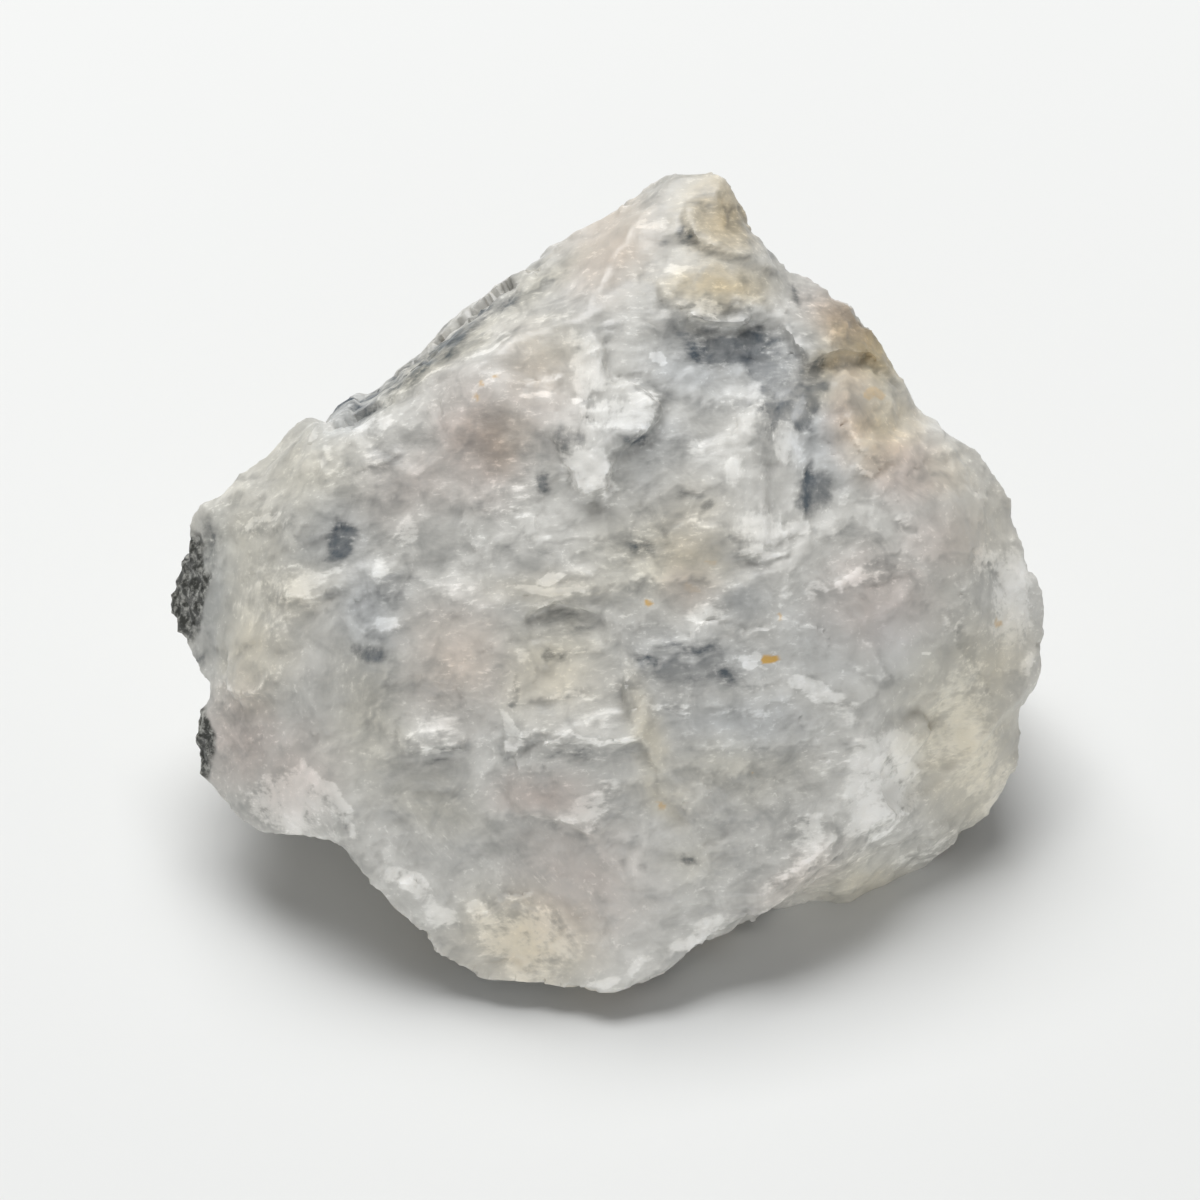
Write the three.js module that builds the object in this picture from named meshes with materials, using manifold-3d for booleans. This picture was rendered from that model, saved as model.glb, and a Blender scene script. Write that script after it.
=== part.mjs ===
// A rough broken chunk of pale lilac-grey feldspar, about 58 mm across, resting on a flat broken base.
// Millimetres, +Z up, the viewer in front at -Y, origin under the middle of the stone on its base.
//
// The stone is first laid out on its broad face: x to the right, y up along the face, z out of the face.
// Convex lumps join into the body, curved breaks and chips cut it, and thin cleavage flakes stand on it.
// The whole is then roughened, leaned back into the way it rests, and cut flat underneath.

import * as THREE from "three";
import { ConvexGeometry } from "three/addons/geometries/ConvexGeometry.js";
import { ImprovedNoise } from "three/addons/math/ImprovedNoise.js";
import { mergeVertices } from "three/addons/utils/BufferGeometryUtils.js";
import Module from "manifold-3d";

// Driving dimensions
const FACE_LEAN = THREE.MathUtils.degToRad(45); // the broad face leans back this far from level
const BASE_DEPTH = 23; // from the middle of the broad face straight down to the base
const LONGEST_EDGE = 3; // the surface is divided until no edge is longer
const FLAKE_ROOT = 1.6; // how far a flake or chip reaches through the surface to join or cut cleanly
const FLAKE_FLARE = 1.12; // a flake is this much wider at its root, so that its broken edge slopes
const EVENING_PASSES = 12; // times the surface is gone over to even out pointed faces
const LEVEL_ANGLE = THREE.MathUtils.degToRad(7); // faces that differ less than this count as level
const OUTSIDE = 100; // farther out than any point of the stone
const ROUGHNESS = [
  { wavelength: 15, height: 0.75 }, // slow swells of the broken faces
  { wavelength: 5.5, height: 0.4 }, // uneven edges
  { wavelength: 2.4, height: 0.16 }, // hackly grain
];
const STONE_COLOUR = 0xb4b2ac;

// Corners of the stone on its broad face: right, up the face, out of the face
const CORNER = {
  // the outer rim, clockwise from the top
  apexLeft: [5.4, 28.7, -7.5],
  apexRight: [7.6, 28.7, -7.5],
  apexShoulder: [9.7, 25.9, -7],
  hornNotch: [12.5, 22.3, -7.5],
  knobTop: [17, 20, -8],
  knobRight: [19.1, 17.2, -8.5],
  knobFoot: [21, 13.7, -9],
  shoulderNotch: [21.9, 12.3, -9.5],
  shoulderTop: [25.2, 10.4, -9],
  shoulderRight: [27.6, 7.3, -9.5],
  flankTop: [28.9, 3.3, -10],
  flankTip: [30.2, -0.7, -11],
  flankLow: [29.9, -4.9, -11.5],
  flankNotch: [28.2, -7.9, -12],
  cornerRight: [28, -11.2, -13],
  cornerLow: [26.8, -14.4, -14],
  footRight: [22.6, -17, -15],
  footTip: [17.2, -21.1, -13.5],
  footLeft: [13, -20.3, -12.5],
  frontRight: [11.6, -19.4, -4],
  toeRight: [3.9, -24.2, -3],
  toe: [-0.3, -26.2, -3],
  toeLeft: [-2.4, -25.1, -3.5],
  chinRight: [-4, -25.4, -4],
  chin: [-7.6, -24.9, -4],
  chinLeft: [-9.6, -22.8, -4],
  jaw: [-13.4, -20.2, -4],
  jawNotch: [-16.6, -16.6, -3.2],
  lobeNotch: [-18.4, -15.6, -5],
  lobeTip: [-23.2, -15.7, -8],
  lobeLow: [-25.2, -13.8, -9],
  lobeLeft: [-27.3, -11.7, -9.5],
  lobeTop: [-27.7, -9.2, -9],
  sideNotch: [-26.8, -5.7, -8.5],
  crustLow: [-28, -3, -10],
  crustTip: [-29, -0.2, -11],
  crustTop: [-27.5, 5.1, -9],
  browLeft: [-26.5, 6.4, -8],
  brow: [-22.9, 9.5, -8],
  browTop: [-20, 11.8, -8],
  browNotch: [-18.6, 11.2, -9],
  backStart: [-16.9, 13.3, -10],
  backLow: [-12.3, 16.4, -10.5],
  backMid: [-5.7, 21.1, -10.5],
  backHigh: [0, 25.3, -10],
  backTop: [3.3, 27.8, -9],
  // the sharp edge along the top left, in front of the narrow back face
  edgeLow: [-11.3, 14.9, -2.4],
  edgeMid: [-7.6, 17.5, -4],
  edgeTop: [-4.9, 20.1, -5.8],
  edgeHigh: [-0.7, 24.4, -7.6],
  // ridges and swells of the broad face
  ridgeLeft: [-18, 10.8, -3.5],
  ridgeMid: [-8, 15.4, -0.6],
  ridgeTop: [-1.7, 18.8, -1],
  ridgeHigh: [2.6, 25.2, -5],
  hornFace: [8.6, 22.6, -3.6],
  hornFoot: [9.5, 17.5, -2],
  knobFace: [15.6, 16, -4],
  knobBase: [17.6, 10.6, -2.6],
  faceLeft: [-20.5, 6.2, -3],
  faceMid: [-2.7, 2.7, 1.7],
  faceLow: [2.7, -9, 1.4],
  faceRight: [13.6, 3.6, 0.4],
  shoulderRidge: [24.2, 5, -4],
  shoulderCrease: [24.4, -1, -4.6],
  cheek: [18.5, -7, -1.6],
  cheekRidge: [25.9, -9, -7.6],
  ledgeLow: [16, -16.4, -3.4],
  footFace: [22.4, -11.6, -7.4],
  leftRidgeTop: [-21, -2.7, -1.6],
  leftRidgeLow: [-17.6, -13.3, -1.6],
  lobeFace: [-22.6, -8.6, -4.8],
  // the far side and the underside
  hornBack: [4, 23, -18],
  knobBack: [16, 12, -20],
  crestBack: [-6, 15, -20],
  browBack: [-19, 5, -19],
  crustBack: [-25.4, -1, -17],
  lobeBack: [-21.4, -10.6, -17],
  leftBack: [-13, 3, -26],
  topBack: [3, 15, -26],
  rightBack: [15, 5, -31],
  flankBack: [26.4, 1, -21],
  cornerBack: [24, -9, -23],
  soleRight: [19, -14, -19.5],
  soleFront: [4, -20.6, -13],
  soleFrontLeft: [-9, -18.2, -13.2],
  soleLeft: [-14, -11, -20.4],
  soleBackLeft: [-10, -4, -30],
  soleBackRight: [15, -3, -33],
};

// Each lump is the convex hull of its corners
const LUMPS = {
  core: `browNotch backStart backHigh hornNotch shoulderNotch flankNotch footLeft frontRight toeRight toe
    chin chinLeft jaw jawNotch sideNotch ridgeLeft ridgeMid ridgeTop hornFoot knobBase faceLeft faceMid
    faceLow faceRight cheek ledgeLow leftRidgeTop leftRidgeLow leftBack topBack rightBack soleRight
    soleFront soleFrontLeft soleLeft soleBackLeft soleBackRight`,
  horn: `apexLeft apexRight apexShoulder hornNotch backMid backHigh backTop edgeTop edgeHigh ridgeTop
    ridgeHigh hornFace hornFoot hornBack topBack`,
  knob: "hornNotch knobTop knobRight knobFoot shoulderNotch knobFace knobBase hornFoot knobBack topBack",
  crest: `browNotch backStart backLow backMid backHigh edgeLow edgeMid edgeTop edgeHigh ridgeLeft ridgeMid
    ridgeTop crestBack leftBack topBack`,
  shoulder: `shoulderNotch shoulderTop shoulderRight flankTop flankTip flankLow flankNotch shoulderRidge
    shoulderCrease cheekRidge cheek footFace faceRight knobBase flankBack rightBack cornerBack`,
  foot: `flankNotch cornerRight cornerLow footRight footTip footLeft cheekRidge footFace ledgeLow cornerBack
    soleRight soleFront rightBack`,
  chinLump: "toe toeLeft chinRight chin chinLeft jaw leftRidgeLow faceLow soleFrontLeft soleFront",
  lobe: `jawNotch lobeNotch lobeTip lobeLow lobeLeft lobeTop sideNotch lobeFace leftRidgeTop leftRidgeLow
    lobeBack soleLeft`,
  browLump: `sideNotch crustLow crustTip crustTop browLeft brow browTop browNotch faceLeft ridgeLeft
    leftRidgeTop browBack crustBack leftBack`,
};

// Curved breaks: a ball of this radius, centred here, is taken out of the body
const SCOOPS = {
  lowerRightBreak: { centre: [25.4, -12.6, 0.4], radius: 8.6 },
  shoulderDish: { centre: [27.5, 8.5, 15], radius: 19.2 },
  lobeHollow: { centre: [-24.5, -9.5, 5.6], radius: 9.6 },
  chinUndercut: { centre: [3, -36, -18], radius: 15 },
  leftUndercut: { centre: [-27, -19, -21], radius: 10.5 },
  rightUndercut: { centre: [35, -16, -27], radius: 13 },
  backBreak: { centre: [4, 34, -46], radius: 29 },
  backLeftBreak: { centre: [-34, 24, -33], radius: 29 },
  backRightBreak: { centre: [36, 20, -38], radius: 26 },
  backLowBreak: { centre: [0, -2, -62], radius: 32 },
  crestBreak: { centre: [-14, 38, -24], radius: 22 },
  crustBreak: { centre: [-44, 0, -28], radius: 22 },
};

// Cleavage flakes stand out of the broad face and chips are broken out of it. Each has an outline on the
// face, the way its broken edge looks, in degrees from right towards up, and the step at that edge,
// negative for a chip.
const FLAKES = {
  whiteCliff: {
    outline: [[-7, 13], [-2.8, 10.4], [-1.2, 6.6], [0.5, 7], [1.2, 10], [3.2, 11.6], [4.1, 13], [2.6, 14.1],
      [0.4, 14.4], [0, 17.3], [-2.8, 18.8], [-6.8, 17]],
    looks: -30,
    step: 1.1,
  },
  darkHollow: {
    outline: [[3.6, 15], [6.7, 14.4], [10.6, 12.8], [13.2, 11.6], [14.4, 14.8], [12, 18.4], [7, 19.2],
      [3, 18]],
    looks: 60,
    step: -1.1,
  },
  knobCave: {
    outline: [[13.4, 14.8], [14.6, 12.2], [16.8, 11], [19.2, 10], [20.4, 11.6], [20, 14.3], [18.2, 16.4],
      [15.8, 16.7]],
    looks: 110,
    step: -1.3,
  },
  centreDish: {
    outline: [[-4.9, -1.4], [-4.2, -3], [-3.2, -4.2], [-1.2, -4.4], [0.4, -2.8], [0, -0.9], [-2.7, -0.4]],
    looks: 100,
    step: -0.9,
  },
  middleLedge: {
    outline: [[-6.4, -6.4], [-5.4, -9.2], [-3.3, -9.8], [-0.2, -9.1], [3, -9.5], [3.4, -6], [0, -4.6],
      [-4, -4.8]],
    looks: -90,
    step: 0.75,
  },
  upperLedge: {
    outline: [[-9.6, -0.6], [-6.6, -0.8], [-4.4, 0.2], [-1.2, 0.3], [0.4, 0.9], [-1.2, 2.6], [-6, 2.4]],
    looks: -80,
    step: 0.6,
  },
  paleLens: {
    outline: [[-6.2, -12.8], [-5, -14.4], [-2.8, -14.6], [-0.4, -15.6], [2, -13.4], [2.8, -11.4],
      [-2.6, -10.6]],
    looks: -100,
    step: 0.65,
  },
  leftFlake: {
    outline: [[-13.2, -8.8], [-12.6, -10.1], [-10.6, -9.6], [-8.9, -10], [-8.8, -7], [-11.6, -6.8]],
    looks: -90,
    step: 0.7,
  },
  lobeShelf: {
    outline: [[-25.6, -5.2], [-24.8, -6.2], [-24, -6.8], [-22.4, -6.2], [-21.4, -4.6], [-21.2, -1.8],
      [-24, -2.4]],
    looks: -80,
    step: 0.9,
  },
  jaggedLedge: {
    outline: [[12.6, -17.6], [15, -10.8], [18, -8.2], [20.4, -7.9], [22, -9], [20.6, -11], [19.8, -11.6],
      [18.8, -13.4], [20.2, -14.4], [18.4, -15.4], [16, -16.8]],
    looks: -35,
    step: 1,
  },
  whiteCorner: {
    outline: [[9, -18.9], [12, -15.3], [15.3, -14.3], [15.6, -16.3], [13.2, -17.7], [10.6, -19]],
    looks: -60,
    step: 0.55,
  },
  pinkFlake: {
    outline: [[15.4, 1.2], [16.3, 0], [17.6, -1.7], [19.7, -0.2], [20.4, 1.4], [18, 2.1]],
    looks: -110,
    step: 0.55,
  },
  hornPlate: {
    outline: [[5.6, 25.4], [6.4, 23.8], [9, 23.2], [11.4, 22.4], [9.8, 25.7], [8, 27.6], [6, 26.8]],
    looks: -100,
    step: 0.7,
  },
  oliveBand: {
    outline: [[3.6, 21.4], [4.6, 19.8], [6.8, 18.7], [9.4, 19], [11.7, 19.8], [11.4, 21.8], [6.8, 22.4]],
    looks: -90,
    step: 0.7,
  },
  uprightSlab: {
    outline: [[6, 5.2], [8, 2.6], [10.8, 2.9], [11.3, 6.7], [11.1, 10.8], [9.6, 11.4], [6.6, 10]],
    looks: -10,
    step: 0.65,
  },
  slopingCrest: {
    outline: [[0.6, 0.4], [1.8, -6.6], [3.6, -11], [6.6, -14.2], [9.4, -13], [8.6, -7], [5, -1]],
    looks: 205,
    step: 0.6,
  },
  creamChip: {
    outline: [[-9.1, -21.3], [-7.4, -19.5], [-4.6, -19.4], [-2.6, -20.6], [-1.2, -23.3], [-1.8, -24.8],
      [-5.4, -24.6], [-7.6, -24]],
    looks: 70,
    step: 0.6,
  },
  browFlake: {
    outline: [[-14.8, 9.6], [-13.4, 7.9], [-11.5, 8.2], [-10.2, 9.5], [-9.2, 11.6], [-11.4, 11.4]],
    looks: -70,
    step: 0.5,
  },
  leftLip: {
    outline: [[-21.8, 0], [-19.2, 0], [-16.9, 0.9], [-14.8, 2.7], [-16.6, 2.6], [-20, 1.6]],
    looks: -80,
    step: 0.5,
  },
};

const { Manifold, Mesh } = await loadManifold();
const noise = new ImprovedNoise();

async function loadManifold() {
  const wasm = await Module();
  wasm.setup();
  return wasm;
}

// A closed three.js geometry as a solid that can be joined and cut
function solidOf(geometry) {
  const bare = geometry.clone();
  bare.deleteAttribute("normal");
  bare.deleteAttribute("uv");
  const merged = mergeVertices(bare);
  return new Manifold(
    new Mesh({
      numProp: 3,
      vertProperties: new Float32Array(merged.attributes.position.array),
      triVerts: new Uint32Array(merged.index.array),
    }),
  );
}

function geometryOf(solid) {
  const mesh = solid.getMesh();
  const geometry = new THREE.BufferGeometry();
  geometry.setAttribute("position", new THREE.BufferAttribute(mesh.vertProperties, 3));
  geometry.setIndex(new THREE.BufferAttribute(mesh.triVerts, 1));
  return geometry;
}

function pointsOf(geometry) {
  const position = geometry.attributes.position;
  const pointAt = (_, i) => new THREE.Vector3().fromBufferAttribute(position, i);
  return Array.from({ length: position.count }, pointAt);
}

function lump(cornerNames) {
  const corners = cornerNames.split(/\s+/).map((name) => new THREE.Vector3(...CORNER[name]));
  return solidOf(new ConvexGeometry(corners));
}

function scoop({ centre, radius }) {
  const around = 24;
  const ball = new THREE.SphereGeometry(radius, around, around / 2);
  return solidOf(ball.translate(...centre));
}

// How far out of the broad face the body reaches at a place on it
function heightFinder(body) {
  const surface = new THREE.Mesh(geometryOf(body), new THREE.MeshBasicMaterial());
  const ray = new THREE.Raycaster();
  const inwards = new THREE.Vector3(0, 0, -1);
  return (x, y) => {
    ray.set(new THREE.Vector3(x, y, OUTSIDE), inwards);
    const [hit] = ray.intersectObject(surface);
    return hit ? hit.point.z : CORNER.toe[2];
  };
}

// A thin wedge that follows the surface: flush on one side, a full step high or deep at its broken edge.
// A flake's root is under the surface and its top above; a chip's floor is under it and its mouth above.
function wedge({ outline, looks, step }, heightAt) {
  const points = outline.map(([x, y]) => new THREE.Vector2(x, y));
  const angle = THREE.MathUtils.degToRad(looks);
  const facing = new THREE.Vector2(Math.cos(angle), Math.sin(angle));
  const reach = points.map((point) => point.dot(facing));
  const nearest = Math.min(...reach);
  const farthest = Math.max(...reach);
  const middle = new THREE.Vector2();
  for (const point of points) middle.addScaledVector(point, 1 / points.length);
  const inner = points.map((point, i) => {
    const share = (reach[i] - nearest) / (farthest - nearest);
    return new THREE.Vector3(point.x, point.y, heightAt(point.x, point.y) + step * share);
  });
  const outer = points.map((point) => {
    const wide = point.clone().sub(middle).multiplyScalar(FLAKE_FLARE).add(middle);
    return new THREE.Vector3(wide.x, wide.y, heightAt(point.x, point.y) - Math.sign(step) * FLAKE_ROOT);
  });
  return solidOf(prismBetween(points, ...(step > 0 ? [outer, inner] : [inner, outer])));
}

// A closed prism with a lower and an upper ring of corners over the same outline
function prismBetween(outline, lower, upper) {
  if (THREE.ShapeUtils.isClockWise(outline)) {
    [outline, lower, upper] = [outline, lower, upper].map((ring) => [...ring].reverse());
  }
  const count = outline.length;
  const index = [];
  for (const [a, b, c] of THREE.ShapeUtils.triangulateShape(outline, [])) {
    index.push(count + a, count + b, count + c, a, c, b);
  }
  for (let i = 0; i < count; i++) {
    const next = (i + 1) % count;
    index.push(i, next, count + next, i, count + next, count + i);
  }
  return new THREE.BufferGeometry().setFromPoints([...lower, ...upper]).setIndex(index);
}

// Halves long edges until none is left. Both faces at an edge share its middle, so the surface stays closed.
function divided(geometry, longest) {
  const points = pointsOf(geometry);
  const middles = new Map();
  const middleOf = (a, b) => {
    const key = a < b ? `${a} ${b}` : `${b} ${a}`;
    if (!middles.has(key)) middles.set(key, points.push(points[a].clone().lerp(points[b], 0.5)) - 1);
    return middles.get(key);
  };
  const index = [];
  const waiting = [...geometry.index.array];
  while (waiting.length) {
    let [a, b, c] = waiting.splice(-3);
    const ends = [[a, b], [b, c], [c, a]];
    const lengths = ends.map(([from, to]) => points[from].distanceTo(points[to]));
    const long = lengths.indexOf(Math.max(...lengths));
    if (lengths[long] <= longest) {
      index.push(a, b, c);
      continue;
    }
    for (let turn = 0; turn < long; turn++) [a, b, c] = [b, c, a];
    const middle = middleOf(a, b);
    waiting.push(a, middle, c, middle, b, c);
  }
  return new THREE.BufferGeometry().setFromPoints(points).setIndex(index);
}

// Turns an edge between two nearly level faces wherever the turned edge leaves them less pointed
function evened(geometry) {
  const points = pointsOf(geometry);
  const index = geometry.index.array;
  const faces = Array.from({ length: index.length / 3 }, (_, i) => [...index.slice(3 * i, 3 * i + 3)]);
  const normal = ([a, b, c]) => {
    const side = points[b].clone().sub(points[a]);
    return side.cross(points[c].clone().sub(points[a])).normalize();
  };
  const angleAt = (tip, a, b) => {
    const side = points[a].clone().sub(points[tip]);
    return side.angleTo(points[b].clone().sub(points[tip]));
  };
  for (let pass = 0; pass < EVENING_PASSES; pass++) {
    const owner = new Map();
    faces.forEach((face, f) => face.forEach((a, i) => owner.set(`${a} ${face[(i + 1) % 3]}`, f)));
    const turned = new Set();
    for (const [edge, f] of owner) {
      const [a, b] = edge.split(" ").map(Number);
      const g = owner.get(`${b} ${a}`);
      if (a > b || turned.has(f) || turned.has(g)) continue;
      const c = faces[f].find((corner) => corner !== a && corner !== b);
      const d = faces[g].find((corner) => corner !== a && corner !== b);
      if (owner.has(`${c} ${d}`) || owner.has(`${d} ${c}`)) continue;
      if (angleAt(c, a, b) + angleAt(d, a, b) < Math.PI + LEVEL_ANGLE) continue;
      const level = normal(faces[f]).add(normal(faces[g])).normalize();
      const next = [[a, d, c], [d, b, c]];
      const every = [faces[f], faces[g], ...next];
      if (every.some((face) => normal(face).angleTo(level) > LEVEL_ANGLE)) continue;
      [faces[f], faces[g]] = next;
      turned.add(f).add(g);
      owner.set(`${c} ${d}`, f).set(`${d} ${c}`, g);
    }
  }
  return new THREE.BufferGeometry().setFromPoints(points).setIndex(faces.flat());
}

// Shifts every point by a smooth field, which bends the flat faces and frays the straight edges together
function roughened(geometry) {
  const position = geometry.attributes.position;
  const point = new THREE.Vector3();
  for (let i = 0; i < position.count; i++) {
    point.fromBufferAttribute(position, i);
    const shift = new THREE.Vector3();
    ROUGHNESS.forEach(({ wavelength, height }, layer) => {
      const [x, y, z] = point.toArray().map((value) => value / wavelength + layer * OUTSIDE);
      shift.x += height * noise.noise(x, y, z);
      shift.y += height * noise.noise(y, z, x + OUTSIDE);
      shift.z += height * noise.noise(z, x + OUTSIDE, y);
    });
    position.setXYZ(i, ...point.add(shift).toArray());
  }
  return geometry;
}

// The ground that the base is cut flat by
function ground() {
  const block = new THREE.BoxGeometry(2 * OUTSIDE, 2 * OUTSIDE, OUTSIDE);
  return solidOf(block.translate(0, 0, -BASE_DEPTH - OUTSIDE / 2));
}

function stoneGeometry() {
  let body = Object.values(LUMPS)
    .map(lump)
    .reduce((whole, next) => whole.add(next));
  for (const each of Object.values(SCOOPS)) body = body.subtract(scoop(each));
  const heightAt = heightFinder(body);
  for (const flake of Object.values(FLAKES)) {
    const piece = wedge(flake, heightAt);
    body = flake.step > 0 ? body.add(piece) : body.subtract(piece);
  }
  const rough = roughened(evened(divided(geometryOf(body), LONGEST_EDGE)));
  const standing = solidOf(rough.rotateX(FACE_LEAN)).subtract(ground());
  const geometry = geometryOf(standing);
  geometry.computeBoundingBox();
  const { min, max } = geometry.boundingBox;
  return geometry.translate(-(min.x + max.x) / 2, -(min.y + max.y) / 2, -min.z);
}

const stone = new THREE.Mesh(
  stoneGeometry(),
  new THREE.MeshStandardMaterial({ color: STONE_COLOUR, roughness: 0.5, metalness: 0 }),
);
stone.name = "stone";

const specimen = new THREE.Group();
specimen.name = "rough_feldspar_chunk";
specimen.add(stone);

export default specimen;
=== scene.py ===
import math

import bpy
import numpy as np
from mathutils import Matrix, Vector, noise


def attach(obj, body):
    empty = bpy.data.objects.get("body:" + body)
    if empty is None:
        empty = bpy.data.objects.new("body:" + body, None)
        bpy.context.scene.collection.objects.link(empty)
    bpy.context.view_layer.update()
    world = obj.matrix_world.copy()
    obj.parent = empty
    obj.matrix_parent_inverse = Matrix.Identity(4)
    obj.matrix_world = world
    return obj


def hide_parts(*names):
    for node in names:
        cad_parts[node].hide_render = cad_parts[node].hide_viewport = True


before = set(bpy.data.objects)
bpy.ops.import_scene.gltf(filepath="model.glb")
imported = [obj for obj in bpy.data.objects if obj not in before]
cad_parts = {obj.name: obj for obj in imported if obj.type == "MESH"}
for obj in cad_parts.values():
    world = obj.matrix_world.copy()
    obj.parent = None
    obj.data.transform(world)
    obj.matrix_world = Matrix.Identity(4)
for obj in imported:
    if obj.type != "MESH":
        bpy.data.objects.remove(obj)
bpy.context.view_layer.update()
print("frame loaded")

# the broad face leans back from level, and the camera looks straight at its middle
faceLean = math.radians(45)
faceMiddle = Vector((-0.000475, -0.006247, 0.0230))
cameraDistance = 0.426
paintDepth = -4  # mm out of the face, the depth that marks on the face are placed at


def linear(red, green, blue):
    # screen colour, 0 to 255, as the shader wants it
    return [((c / 255 + 0.055) / 1.055) ** 2.4 for c in (red, green, blue)] + [1]


def smoothStep(low, high, value):
    t = np.clip((value - low) / (high - low), 0, 1)
    return t * t * (3 - 2 * t)


def faceToPart(right, up, out):
    y = up * math.sin(faceLean) - out * math.cos(faceLean)
    z = up * math.cos(faceLean) + out * math.sin(faceLean)
    return Vector((right, y, z))


def toFace(co):
    # mm to the right, up along the face and out of it
    right, y, z = ((co - np.array(faceMiddle)) * 1000).T
    up = y * math.sin(faceLean) + z * math.cos(faceLean)
    out = z * math.sin(faceLean) - y * math.cos(faceLean)
    return right, up, out


def seenOnFace(co):
    # the same, with right and up as the camera sees them on the face
    right, up, out = toFace(co)
    distance = cameraDistance * 1000
    closer = (distance - paintDepth) / (distance - out)
    return right * closer, up * closer, out


def facing(normals):
    # 1 where the surface looks the way the broad face does, 0 on the sides and the back
    return smoothStep(0.1, 0.55, normals @ np.array(faceToPart(0, 0, 1)))


def noiseAt(points, size, seed):
    # smooth noise of about one size in mm, from -1 to 1
    shift = Vector((seed * 7.31, seed * 3.17, seed * 5.73))
    return np.array([noise.noise(Vector(p) / size + shift) for p in points])


def getCoords(mesh, field="co"):
    values = np.empty(len(mesh.vertices) * 3, np.float32)
    mesh.vertices.foreach_get(field, values)
    return values.reshape(-1, 3).astype(float)


def setCoords(mesh, co):
    mesh.vertices.foreach_set("co", co.astype(np.float32).ravel())
    mesh.update()


def paint(mesh, name, values):
    layer = mesh.attributes.get(name) or mesh.attributes.new(name, "FLOAT", "POINT")
    layer.data.foreach_set("value", np.clip(values, 0, 1).astype(np.float32))


# shape of the stone, mm
stoneShape = {
    "voxel": 0.3,
    "smooth": 2,  # rounds of smoothing before the ledges are broken in
    "warp": [(5, 0.4), (1.7, 0.14)],  # noise size and shift that fray the edges
    "sole": 0.8,  # the base is let down this far, and cut off again at the end
    "sharpAngle": 38,
    # broken facets: length and width of one, turn on the face in degrees, step, tilt, how far the broad face
    # keeps them, how jagged the edges are, how white the lips with their painted highlight (the same number
    # sets the painted shadow at the foot), and how much each differs in shade
    "facets": [
        {"long": 9, "short": 6, "turn": 20, "step": 0.3, "tilt": 0.6, "calm": 0.35,
         "jag": [(2.2, 0.12), (0.9, 0.05)], "lipAndHighlight": 0.4, "shade": 0, "seed": 1},
        {"long": 4.4, "short": 2.8, "turn": 8, "step": 0.12, "tilt": 0.2, "calm": 0.5,
         "jag": [(1.3, 0.25), (0.6, 0.15)], "lipAndHighlight": 0.4, "shade": 0.6, "seed": 5},
        {"long": 1.7, "short": 1.1, "turn": 15, "step": 0.03, "tilt": 0.05, "calm": 0.5,
         "jag": [(0.7, 0.25)], "lipAndHighlight": 0.2, "shade": 0.4, "seed": 9},
    ],
    "jag": [(1.9, 0.4), (0.75, 0.2)],  # noise that frays the outlines of the flakes
    "flakeHeight": 0.4,
    "micaGrain": 0.7,
    "micaHeight": 0.3,
    # where a patch starts to fade and where it ends, in its own radii
    "edges": {"darkAndShade": (0.2, 1.45), "whiteAndLit": (0.4, 1.3), "rust": (0.6, 1.1), "mica": (0.6, 1.1),
              "paintedGlint": (0.5, 1.2)},
    "softEdge": (0, 1.6),  # the same for all other patches
}
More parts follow.
